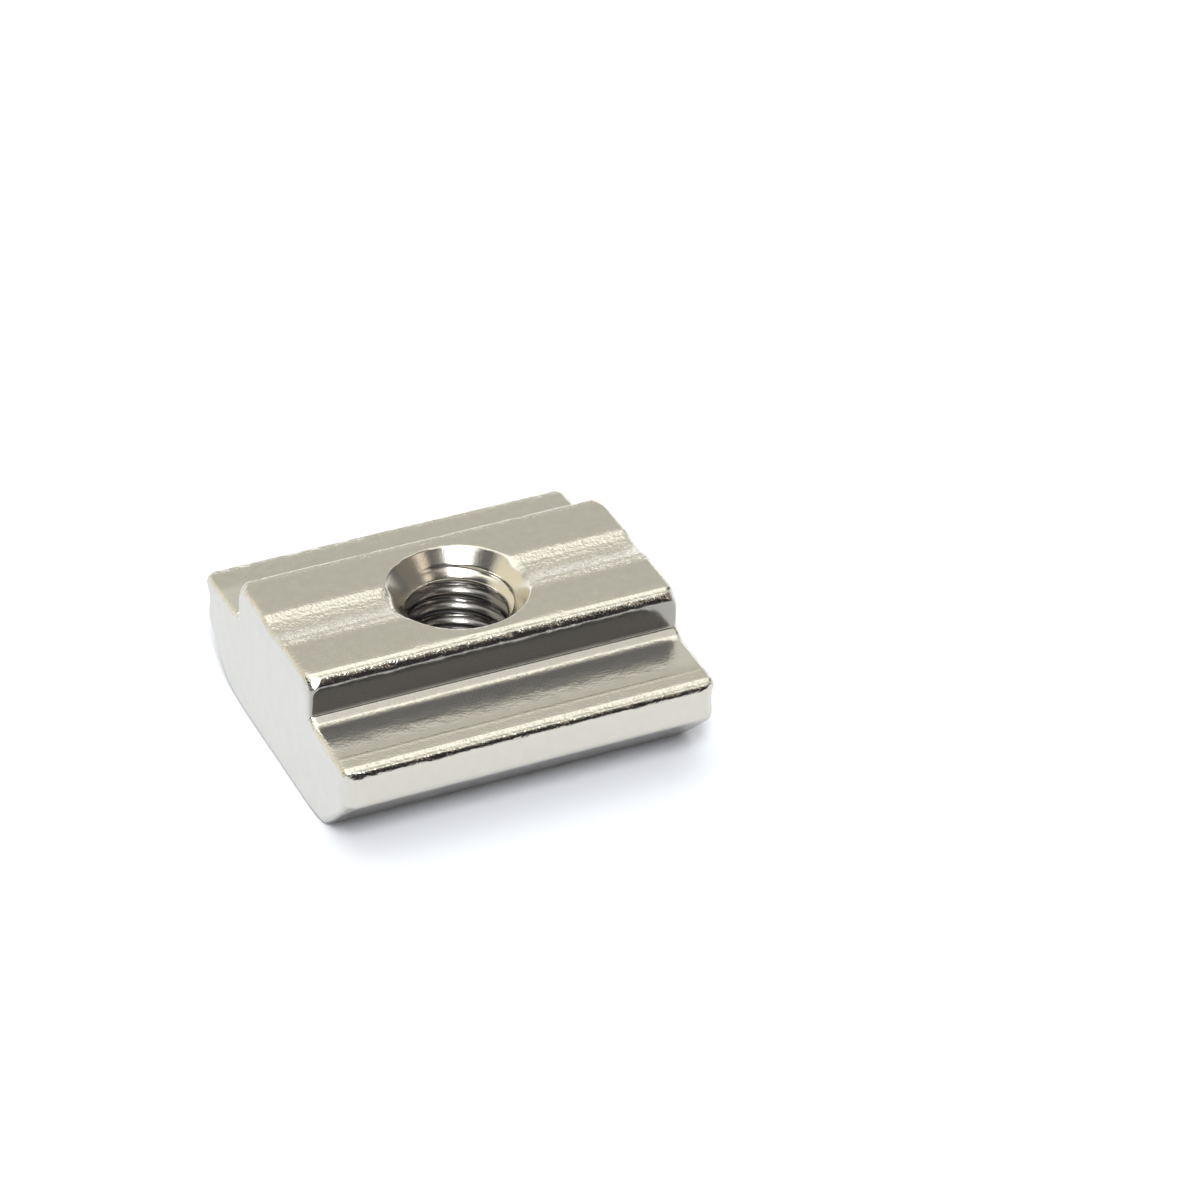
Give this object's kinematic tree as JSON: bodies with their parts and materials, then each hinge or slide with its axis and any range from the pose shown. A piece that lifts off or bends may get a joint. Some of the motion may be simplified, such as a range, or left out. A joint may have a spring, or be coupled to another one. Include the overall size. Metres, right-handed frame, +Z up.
{
  "type": "t slot nut",
  "caption": "Steel slide-in nut for a profile slot: a flanged bar with bevelled undersides, a raised grooved neck and a countersunk threaded hole.",
  "frame": {"origin": "middle of the flat underside, on the axis of the threaded hole", "axes": "+X along the slot the nut slides in, +Y across the slot, +Z up the screw and out of the slot"},
  "size_m": [0.0168, 0.016, 0.0065],
  "materials": {
    "nickel_plated_steel": "satin nickel plate, tumbled, with a bare thread"
  },
  "bodies": {
    "root": {"t_slot_nut": "nickel_plated_steel"}
  },
  "joints": []
}
